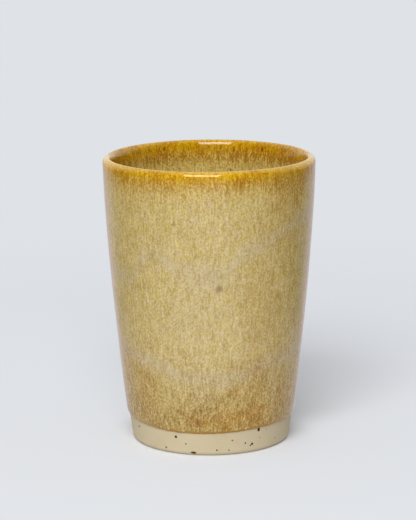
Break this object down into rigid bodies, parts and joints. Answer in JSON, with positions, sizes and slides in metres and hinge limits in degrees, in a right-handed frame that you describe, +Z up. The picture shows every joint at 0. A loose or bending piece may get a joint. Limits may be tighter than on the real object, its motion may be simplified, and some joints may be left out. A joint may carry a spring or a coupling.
{
  "type": "tall cup",
  "caption": "Tall handleless stoneware cup: tapered, slightly bowed thrown wall, rounded lip, glaze inside and out down to a wandering line above a bare clay foot.",
  "frame": {"origin": "on the cup's axis at the table, under the middle of the foot", "axes": "+Z up along the cup's axis; the side shown in the picture faces -Y"},
  "size_m": [0.081, 0.081, 0.11],
  "materials": {
    "bare_clay": "matte unglazed buff stoneware with fine grain and iron specks",
    "straw_glaze": "glossy straw-yellow glaze, streaked and mottled, amber where it breaks thin over the lip"
  },
  "bodies": {
    "root": {"clay_body": "bare_clay", "outer_glaze": "straw_glaze", "liner_glaze": "straw_glaze"}
  },
  "joints": []
}
